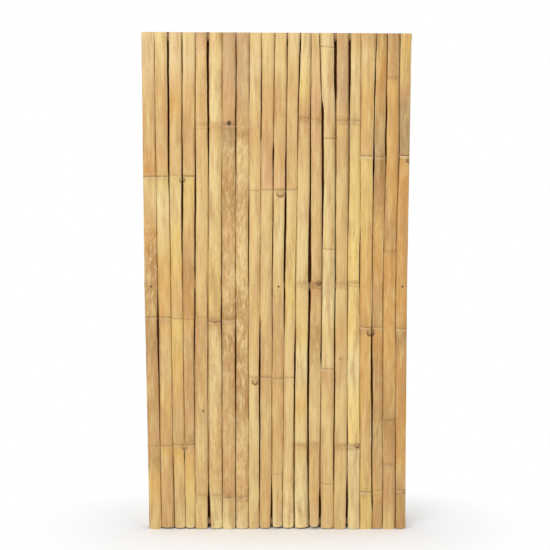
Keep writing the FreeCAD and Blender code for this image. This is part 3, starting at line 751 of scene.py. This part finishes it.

# The tones of each front strip from the foot up, which run into each other: heights in millimetres and
# names of tones.
# The pale and ivory at the feet are painted light, making up for the light that falls off near the floor.
FRONT_TONES = {
    1: ((0, "straw"), (180, "ochre"), (250, "brown"), (310, "sand"), (370, "sand"), (450, "brown"),
        (600, "sand"), (720, "umber"), (780, "brown"), (960, "brown"), (1080, "amber"), (1200, "straw"),
        (1285, "straw"), (1310, "amber"), (1440, "sand"), (1560, "sand"), (1700, "bone")),
    2: ((180, "tan"), (250, "sand"), (300, "ochre"), (330, "tan"), (460, "ochre"), (600, "straw"),
        (700, "tan"), (740, "ochre"), (775, "sand"), (800, "orange"), (960, "ochre"), (1080, "straw"),
        (1200, "pale"), (1285, "green"), (1310, "tan"), (1440, "sand"), (1580, "tan"), (1700, "straw"),
        (1800, "cream")),
    3: ((0, "cream"), (120, "straw"), (300, "ochre"), (330, "tan"), (360, "straw"), (460, "tan"),
        (600, "ochre"), (770, "lemon"), (800, "tan"), (960, "ochre"), (1080, "lemon"), (1200, "cream"),
        (1285, "green"), (1310, "tan"), (1440, "straw"), (1560, "orange"), (1700, "bone")),
    4: ((0, "cream"), (120, "lemon"), (260, "ochre"), (300, "tan"), (330, "brown"), (380, "sand"),
        (720, "sand"), (770, "ochre"), (800, "amber"), (960, "brown"), (1060, "tan"), (1285, "lemon"),
        (1310, "tan"), (1440, "sand"), (1600, "tan"), (1700, "bone"), (1800, "cream")),
    5: ((110, "straw"), (130, "tan"), (350, "straw"), (460, "sand"), (600, "tan"), (765, "sand"),
        (790, "tan"), (1200, "straw"), (1400, "tan"), (1560, "tan"), (1700, "straw"), (1760, "pink"),
        (1800, "dusty")),
    6: ((0, "pale"), (110, "cream"), (130, "straw"), (300, "tan"), (500, "straw"), (600, "cream"),
        (720, "straw"), (765, "sand"), (850, "lemon"), (1100, "straw"), (1360, "cream"), (1470, "tan"),
        (1495, "cream"), (1700, "cream"), (1760, "straw")),
    7: ((0, "pale"), (110, "cream"), (130, "sand"), (350, "tan"), (600, "sand"), (720, "brown"),
        (765, "tan"), (790, "brown"), (870, "tan"), (960, "sand"), (1100, "tan"), (1190, "brown"),
        (1250, "brown"), (1340, "sand"), (1440, "grey"), (1470, "umber"), (1495, "sand"), (1560, "pink"),
        (1700, "dusty")),
    8: ((0, "pale"), (110, "tan"), (260, "tan"), (360, "straw"), (460, "brown"), (600, "sand"),
        (640, "brown"), (720, "tan"), (840, "brown"), (930, "tan"), (1080, "straw"), (1200, "sand"),
        (1340, "straw"), (1400, "straw"), (1440, "brown"), (1470, "tan"), (1495, "sand"), (1600, "dusty")),
    9: ((0, "straw"), (180, "cream"), (260, "straw"), (480, "cream"), (600, "straw"), (720, "tan"),
        (840, "tan"), (960, "straw"), (1260, "straw"), (1440, "tan"), (1560, "straw"), (1680, "bone"),
        (1800, "straw")),
    10: ((220, "tan"), (460, "straw"), (550, "tan"), (1000, "straw"), (1240, "straw"), (1260, "pink"),
         (1440, "sand"), (1560, "tan"), (1700, "straw")),
    11: ((0, "pale"), (120, "straw"), (220, "tan"), (580, "tan"), (720, "sand"), (900, "straw"),
         (1080, "cream"), (1240, "straw"), (1260, "pink"), (1340, "tan"), (1440, "sand"), (1580, "sand"),
         (1680, "straw")),
    12: ((100, "ivory"), (180, "straw"), (720, "straw"), (860, "lemon"), (1240, "straw"), (1260, "tan"),
         (1440, "sand"), (1560, "tan"), (1700, "straw"), (1800, "bone")),
    13: ((0, "ivory"), (100, "pale"), (220, "cream"), (290, "straw"), (315, "tan"), (335, "cream"),
         (460, "ochre"), (600, "pale"), (740, "lemon"), (860, "straw"), (915, "cream"), (1100, "cream"),
         (1300, "straw"), (1440, "sand"), (1530, "sand"), (1600, "lemon"), (1700, "cream"), (1800, "pale")),
    14: ((0, "bone"), (120, "tan"), (300, "tan"), (335, "straw"), (600, "straw"), (720, "brown"),
         (830, "tan"), (900, "sand"), (960, "straw"), (1080, "tan"), (1200, "straw"), (1340, "sand"),
         (1440, "pink"), (1500, "sand"), (1560, "pink"), (1800, "straw")),
    15: ((0, "straw"), (190, "tan"), (400, "straw"), (590, "tan"), (610, "cream"), (720, "straw"),
         (840, "pale"), (1025, "cream"), (1045, "straw"), (1200, "cream"), (1420, "straw"), (1440, "straw"),
         (1560, "bone"), (1700, "cream"), (1740, "cream"), (1760, "bone"), (1800, "straw")),
    16: ((180, "straw"), (310, "tan"), (335, "straw"), (500, "straw"), (720, "tan"), (880, "straw"),
         (915, "tan"), (1300, "straw"), (1490, "tan"), (1580, "dusty"), (1700, "dusty"), (1800, "sand")),
    17: ((0, "pale"), (100, "cream"), (180, "cream"), (310, "pale"), (335, "butter"), (460, "butter"),
         (600, "pale"), (740, "butter"), (880, "lemon"), (915, "lemon"), (1080, "butter"), (1200, "lemon"),
         (1300, "lemon"), (1490, "straw"), (1510, "straw"), (1680, "cream"), (1760, "tan")),
    18: ((150, "lemon"), (360, "tan"), (500, "ochre"), (600, "orange"), (740, "ochre"), (760, "orange"),
         (860, "orange"), (1000, "ochre"), (1200, "lemon"), (1360, "lemon"), (1380, "tan"), (1560, "ochre"),
         (1700, "straw"), (1800, "tan")),
    19: ((100, "sand"), (135, "ochre"), (150, "tan"), (270, "sand"), (360, "umber"), (500, "sand"),
         (600, "brown"), (740, "amber"), (760, "brown"), (850, "sand"), (960, "amber"), (1100, "ochre"),
         (1200, "brown"), (1330, "umber"), (1360, "umber"), (1380, "grey"), (1500, "brown"),
         (1680, "amber"), (1800, "brown")),
    20: ((0, "straw"), (80, "tan"), (120, "sand"), (260, "sand"), (360, "brown"), (425, "brown"),
         (600, "ochre"), (720, "orange"), (840, "amber"), (1000, "amber"), (1080, "brown"),
         (1200, "orange"), (1440, "orange"), (1630, "ochre"), (1650, "sand"), (1800, "brown")),
    21: ((100, "brown"), (180, "sand"), (260, "orange"), (400, "amber"), (600, "amber"), (720, "umber"),
         (790, "amber"), (900, "orange"), (1080, "amber"), (1360, "amber"), (1380, "grey"), (1540, "grey"),
         (1600, "sand"), (1650, "lemon"), (1800, "ochre")),
}

# Where the weather has mottled the skin: heights in millimetres and how much. It is even and little on the
# strips that aren't listed.
LITTLE_WEATHER = ((0, 0.15),)
FRONT_WEATHER = {
    1: ((400, 0.2), (600, 0.4), (770, 0.3), (850, 0.8), (1050, 0.8), (1200, 0.1)),
    2: ((300, 0.1), (700, 0.3), (800, 0.1)),
    5: ((0, 0.3), (600, 0.4), (800, 0.2)),
    6: ((0, 0.5), (700, 0.6), (800, 0.3), (1300, 0.2)),
    7: ((0, 0.2), (200, 0.4), (800, 0.8), (1400, 0.7), (1500, 0.2)),
    8: ((0, 0.7), (700, 1.0), (1450, 0.9), (1530, 0.3)),
    14: ((300, 0.2), (600, 0.5), (900, 0.3), (1000, 0.1)),
    19: ((900, 0.2), (1100, 0.4), (1300, 0.1)),
}

# The rings of each front strip from the foot up: how many millimetres each lies above where the solids have
# it, because the strips of a culm weren't nailed quite level, and how plainly it is marked.
FRONT_RINGS = {
    1: ((-2, 0.5), (3.5, 0.8), (-3.5, 1)),
    2: ((0.5, 0.8), (2, 0.7), (-2, 0.95)),
    3: ((3.5, 0.6), (-2.5, 0.65), (0, 0.45)),
    4: ((5, 0.8), (-2.5, 0.5), (-2, 1.35)),
    5: ((12, 0.5), (7.5, 0.5), (-2, 0.6)),
    6: ((10, 0.7), (-4.5, 1), (-1.5, 0.4)),
    7: ((1.5, 0.6), (3.5, 1), (-4, 1)),
    8: ((2.5, 0.9), (0, 0.1), (-3, 0.3)),
    9: ((0, 0.05), (0, 0.65), (-8, 0.6)),
    10: ((0, 0.05), (0, 0.85), (-5, 0.65)),
    11: ((-1, 0.35), (-5, 0.65), (-5, 0.8)),
    12: ((0, 0.05), (-2, 0.7), (-4.5, 0.7)),
    13: ((-4, 0.5), (3, 0.6), (-1, 0.8)),
    14: ((-1, 0.6), (1, 1.1), (-7, 0.5)),
    15: ((-17, 0.6), (-1.5, 0.8), (0, 0.7), (-2, 0.8), (-1, 0.8)),
    16: ((-8, 0.5), (1, 0.5), (-8, 0.7)),
    17: ((-8, 0.9), (7, 0.7), (-9, 0.8)),
    18: ((-4, 0.9), (0, 0.8), (-5, 1.15)),
    19: ((0, 0.5), (-1, 0.6), (-8, 0.6)),
    20: ((-3, 0.7), (-7, 0.85), (-4.5, 0.55), (-2, 0.65)),
    21: ((3, 0.7), (-5, 0.65), (-3.5, 1.6)),
}

# The bud scars and knots on each strip: how far right of the panel's middle, how high up and how large, in
# millimetres, and how plain. Above 2 it goes black with rot.
FRONT_SCARS = {
    1: ((-430, 780, 6, 0.8),),
    2: ((-430, 780, 6, 0.8),),
    3: ((-333, 1284, 9, 1.3), (-334, 310, 9, 0.9)),
    4: ((-333, 1284, 9, 1.3), (-334, 310, 9, 0.9)),
    5: ((-265, 446, 4.5, 1.8),),
    6: ((-220, 780, 10, 0.6),),
    7: ((-167, 1483, 6, 3), (-173, 128, 7, 0.9)),
    9: ((-77, 554, 10, 1.4),),
    11: ((14, 1237, 12, 1.1),),
    14: ((152, 913, 7, 2.2),),
    16: ((232, 640, 5, 0.9),),
    17: ((294, 316, 8, 1.2),),
    18: ((338, 734, 11, 2.0),),
    19: ((340, 734, 11, 2.0),),
    21: ((467, 1352, 7, 2.2), (468, 142, 6, 1.2)),
}

# The heights at which the solids' edges are measured. They are straight in between.
CAD_HEIGHTS = [10 * MM, 450 * MM, 900 * MM, 1350 * MM, 1785 * MM]

front_skins = {
    letter: bamboo_skin(f"dried_bamboo_skin_{letter}", *looks) for letter, looks in CULM_LOOKS.items()
}
cad_edges = {}
for node in front_strips:
    sections = [crossing(node, height)[:, 0] for height in CAD_HEIGHTS]
    cad_edges[node] = ([section.min() for section in sections], [section.max() for section in sections])

for number, node in enumerate(front_strips, 1):
    chance = random.Random(100 + number)
    letter = FRONT_CULMS[number - 1]
    marks = [(ring + up * MM, mark) for ring, (up, mark) in zip(ring_heights(node, -1), FRONT_RINGS[number])]
    low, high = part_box(node)
    heights = station_heights(low[2], high[2], [ring for ring, _ in marks])
    off_foot = np.clip(1 - (heights - low[2]) / FOOT_ROUNDING, 0, 1)
    rounding = FOOT_ROUNDING * (1 - np.sqrt(1 - off_foot ** 2))
    edges = []
    # The left edge, then the right: its joint, which of the solid's edges it is, which one of its
    # neighbour's it faces, and its way from the middle.
    for joint, own, other, way in ((number - 1, 0, 1, -1), (number, 1, 0, 1)):
        line = np.interp(heights, CAD_HEIGHTS, cad_edges[node][own])
        if joint in FRONT_GAPS:
            beside = np.interp(heights, CAD_HEIGHTS, cad_edges[front_strips[number - 1 + way]][other])
            widths = np.array(FRONT_GAPS[joint]) * MM
            line = (line + beside) / 2 - way * np.interp(heights, widths[:, 0], widths[:, 1]) / 2
            bends = np.array(JOINT_BENDS.get(joint, ((0, 0),))) * MM
            line = line + np.interp(heights, bends[:, 0], bends[:, 1])
            line = line + ragged(random.Random(joint), heights, JOINT_SWAY)
        edges.append(line - way * (np.abs(ragged(chance, heights, EDGE_STRAY)) + rounding))
    weather = np.array(FRONT_WEATHER.get(number, LITTLE_WEATHER))
    culm = (front_skins[letter], f"bamboo_culm_{letter.lower()}", 1)
    split_strip(node, -1.0, culm, marks, heights, edges, colours_up(heights, FRONT_TONES[number]),
                np.interp(heights, weather[:, 0] * MM, weather[:, 1]), FRONT_SCARS.get(number), chance)


# The round-headed nails: wire nails of brown, rusted steel, one near each end of the middle cane and one
# at its middle. They were driven home, so that only the low dome of the head stands on the skin.
def rusted_steel(name, codes):
    """Drawn steel wire with a skin of brown rust, dull where it is thick. codes run from dark to pale."""
    material, tree = new_material(name)
    place = add(tree, "ShaderNodeTexCoord").outputs["Object"]
    rust = grain(tree, place, 1.5 * MM, 1.5 * MM, 5.0, 0.6)
    ramp = set_stops(add(tree, "ShaderNodeValToRGB", {0: rust}), [
        (0.3, codes[0]), (0.55, codes[1]), (0.75, codes[2])])
    bump = add(tree, "ShaderNodeBump", {"Height": rust, "Strength": 0.4, "Distance": 0.2 * MM})
    rough = formula(tree, "0.45 + 0.9 * (rust - 0.3)", rust=rust)
    shader = add(tree, "ShaderNodeBsdfPrincipled", {
        "Base Color": ramp.outputs[0], "Roughness": rough, "Metallic": 0.5, "Normal": bump.outputs[0]})
    add(tree, "ShaderNodeOutputMaterial", {0: shader.outputs[0]})
    return material


NAIL_DOME = 1.3 * MM
NAIL_HEAD = 1.4 * MM
NAIL_NECK = 2.4 * MM
NAIL_POINT = 4 * MM
NAIL_TIP = 0.3 * MM
NAIL_SIDES = 24

# The solids hold the three nails in one node. Each lies within the reach of one of these places.
NAIL_PLACES = (-450 * MM, 0, 450 * MM)
NAIL_REACH = 200 * MM

nail_steel = rusted_steel("rusted_steel_wire", ("#3A2414", "#5C3A1C", "#7E5226"))
corners = corners_of(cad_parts["front_nails"].data)
for number, near in enumerate(NAIL_PLACES, 1):
    own = corners[np.abs(corners[:, 0] - near) < NAIL_REACH]
    face, tip = own[:, 1].min(), own[:, 1].max()
    head = own[own[:, 1] < face + 0.1 * MM]
    shank = own[own[:, 1] > tip - 0.1 * MM]
    centre = ((head[:, 0].min() + head[:, 0].max()) / 2, 0, (head[:, 2].min() + head[:, 2].max()) / 2)
    head_radius = (head[:, 0].max() - head[:, 0].min()) / 2
    shank_radius = (shank[:, 0].max() - shank[:, 0].min()) / 2
    dome = [(face + NAIL_DOME * (1 - math.cos(math.asin(share))), head_radius * share, 0)
            for share in (0.25, 0.5, 0.7, 0.85, 0.95, 1.0)]
    section = [(face, 0, 0)] + dome + [
        (face + NAIL_HEAD, head_radius * 0.9, 0), (face + NAIL_HEAD, shank_radius * 1.2, 0),
        (face + NAIL_NECK, shank_radius, 0), (tip - NAIL_POINT, shank_radius, 0),
        (tip - NAIL_TIP, shank_radius * 0.15, 0), (tip, 0, 0)]
    nail = turned(f"round_nail_{number}", section, 1, centre, [nail_steel], NAIL_SIDES)
    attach(nail, "root")
    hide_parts("front_nails")


# The brads: fine wire nails with small round heads. They hold the strips to the canes at all the crossings
# without a round-headed nail, on both faces. They were hammered in until their heads were nearly flush
# with the skin, and have gone brown with it.
BRAD_HEAD = 1.2 * MM
BRAD_SHANK = 0.6 * MM
BRAD_LENGTH = 22 * MM
BRAD_PROUD = 0.3 * MM
BRAD_OFF_CANE = 4 * MM
BRAD_OFF_STRIP = 6 * MM
ROUND_NAILED = ("front_strip_01", "front_strip_11", "front_strip_21")


def brads_tree():
    """Geometry nodes that set a brad at each point, driven along the way that the point faces."""
    tree, given = new_group("brads", (
        ("Head radius", "Float"), ("Shank radius", "Float"), ("Length", "Float"), ("Proud", "Float"),
        ("Steel", "Material")))
    sizes = {"head": given["Head radius"], "shank": given["Shank radius"], "proud": given["Proud"],
             "length": given["Length"]}
    parts = []
    for sides, wide, narrow, depth, down in (
            (12, "head", "head * 0.6", "proud * 2", "0 - proud"),
            (8, "shank * 0.3", "shank", "length - proud", "0 - length")):
        cone = add(tree, "GeometryNodeMeshCone", {
            "Vertices": sides, "Radius Bottom": formula(tree, wide, **sizes),
            "Radius Top": formula(tree, narrow, **sizes), "Depth": formula(tree, depth, **sizes)}).outputs[0]
        lower = add(tree, "ShaderNodeCombineXYZ", {2: formula(tree, down, **sizes)}).outputs[0]
        parts.append(add(tree, "GeometryNodeTransform", {0: cone, "Translation": lower}).outputs[0])
    brad = add(tree, "GeometryNodeJoinGeometry")
    for part in parts:
        tree.links.new(part, brad.inputs[0])
    facing = add(tree, "GeometryNodeInputNamedAttribute", {0: "facing"}, data_type="FLOAT_VECTOR").outputs[0]
    turn = add(tree, "FunctionNodeAlignRotationToVector", {"Vector": facing}, axis="Z").outputs[0]
    driven = add(tree, "GeometryNodeInstanceOnPoints", {
        "Points": given["Geometry"], "Instance": brad.outputs[0], "Rotation": turn}).outputs[0]
    whole = add(tree, "GeometryNodeRealizeInstances", {0: driven}).outputs[0]
    whole = add(tree, "GeometryNodeSetMaterial", {0: whole, 2: given["Steel"]}).outputs[0]
    add(tree, "NodeGroupOutput", {0: whole})
    return tree


def skin_place(piece, side, height, shift):
    """A point on a strip's skin, at a height and shifted sideways from the strip's middle."""
    places = corners_of(bpy.data.objects[piece].data)
    near = places[np.abs(places[:, 2] - height) < PLAIN_STEP]
    x = (near[:, 0].min() + near[:, 0].max()) / 2 + shift
    beside = near[np.abs(near[:, 0] - x) < 4 * MM]
    return x, side * (beside[:, 1] * side).max(), height


cane_heights = {
    rail: sum(corner[2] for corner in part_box(rail)) / 2 for rail in ("rail_top", "rail_middle", "rail_bottom")
}
brad_tree = brads_tree()
brad_steel = rusted_steel("dusty_steel_wire", ("#6B4824", "#8C6436", "#A87C48"))
for face, side, strips in (("front", -1.0, front_strips), ("rear", 1.0, rear_strips)):
    chance = random.Random(face)
    for rail, height in cane_heights.items():
        spots = []
        for node in strips:
            if rail != "rail_middle" or node not in ROUND_NAILED:
                up = chance.uniform(-BRAD_OFF_CANE, BRAD_OFF_CANE)
                aside = chance.uniform(-BRAD_OFF_STRIP, BRAD_OFF_STRIP)
                spots.append(skin_place(f"{node}_split", side, height + up, aside))
        mesh = bpy.data.meshes.new(f"{face}_brad_points")
        mesh.from_pydata(spots, [], [])
        mesh.attributes.new("facing", "FLOAT_VECTOR", "POINT").data.foreach_set(
            "vector", [0.0, side, 0.0] * len(spots))
        brads = placed(f"{face}_brads_{rail}", mesh)
        grow(brads, brad_tree, {
            "Head radius": BRAD_HEAD, "Shank radius": BRAD_SHANK, "Length": BRAD_LENGTH,
            "Proud": BRAD_PROUD, "Steel": brad_steel})
        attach(brads, "root")


# The floor, the light and the camera. The panel stands on a plain white floor against white, in soft even
# light from the front and above, and the camera is level with its head, five and a half metres in front.
FLOOR_REACH = 40.0
FLOOR_HEIGHT = -0.3 * MM
SHADOW_REACH = 0.05
WHITE_REACH = 0.45
PLAIN_LEVEL = 0.78
LAMP_SIZE = 3.0
LAMP_POWER = 107
LAMP_PLACE = (-1.6, -3.8, 4.2)
LAMP_TURN = (48, 0, -22)
CAMERA_LENS = 103
CAMERA_SENSOR = 36
CAMERA_PLACE = (-0.005, -5.583, 1.8)
CAMERA_LOOKS_DOWN = 8.78


def white_floor():
    """Matt white paper: it takes the panel's shadow near the foot and runs out into plain white."""
    material, tree = new_material("matt_white_floor")
    place = add(tree, "ShaderNodeSeparateXYZ", {0: add(tree, "ShaderNodeTexCoord").outputs["Object"]}).outputs
    half = (cad_box[1][0] - cad_box[0][0]) / 2
    away = formula(tree, "sqrt(maximum(0, absolute(x) - half) ** 2 + y * y)",
                   x=place[0], y=place[1], half=half)
    seen = add(tree, "ShaderNodeLightPath").outputs["Is Camera Ray"]
    share = formula(tree, "seen * minimum(1, maximum(0, (away - shadow) / (white - shadow)))",
                    seen=seen, away=away, shadow=SHADOW_REACH, white=WHITE_REACH)
    paper = add(tree, "ShaderNodeBsdfDiffuse", {"Color": linear("#F8F8F8")}).outputs[0]
    white = add(tree, "ShaderNodeEmission", {"Strength": 1.0}).outputs[0]
    mixed = add(tree, "ShaderNodeMixShader", {0: share, 1: paper, 2: white}).outputs[0]
    add(tree, "ShaderNodeOutputMaterial", {0: mixed})
    return material


floor_mesh = bpy.data.meshes.new("floor")
floor_mesh.from_pydata([(x * FLOOR_REACH, y * FLOOR_REACH, FLOOR_HEIGHT)
                        for x, y in ((-1, -1), (1, -1), (1, 1), (-1, 1))], [], [(0, 1, 2, 3)])
floor_mesh.materials.append(white_floor())
placed("floor", floor_mesh)

scene = bpy.context.scene
scene.view_settings.view_transform = "Standard"
world = bpy.data.worlds.new("soft_white_room")
scene.world = world
world.use_nodes = True
sky = world.node_tree
sky.nodes.clear()
rays = add(sky, "ShaderNodeLightPath")
strength = formula(sky, "plain + (1 - plain) * maximum(maximum(camera, glossy), transmission)",
                   plain=PLAIN_LEVEL, camera=rays.outputs["Is Camera Ray"],
                   glossy=rays.outputs["Is Glossy Ray"], transmission=rays.outputs["Is Transmission Ray"])
backdrop = add(sky, "ShaderNodeBackground", {0: (1, 1, 1, 1), 1: strength})
add(sky, "ShaderNodeOutputWorld", {0: backdrop.outputs[0]})

softbox = bpy.data.lights.new("softbox", "AREA")
softbox.shape = "SQUARE"
softbox.size = LAMP_SIZE
softbox.energy = LAMP_POWER
lamp = placed("softbox", softbox)
lamp.location = LAMP_PLACE
lamp.rotation_euler = [math.radians(angle) for angle in LAMP_TURN]

camera_data = bpy.data.cameras.new("camera")
camera_data.lens = CAMERA_LENS
camera_data.sensor_width = CAMERA_SENSOR
camera_data.clip_end = 5 * FLOOR_REACH
camera = placed("camera", camera_data)
camera.location = CAMERA_PLACE
camera.rotation_euler = (math.radians(90 - CAMERA_LOOKS_DOWN), 0, 0)
scene.camera = camera
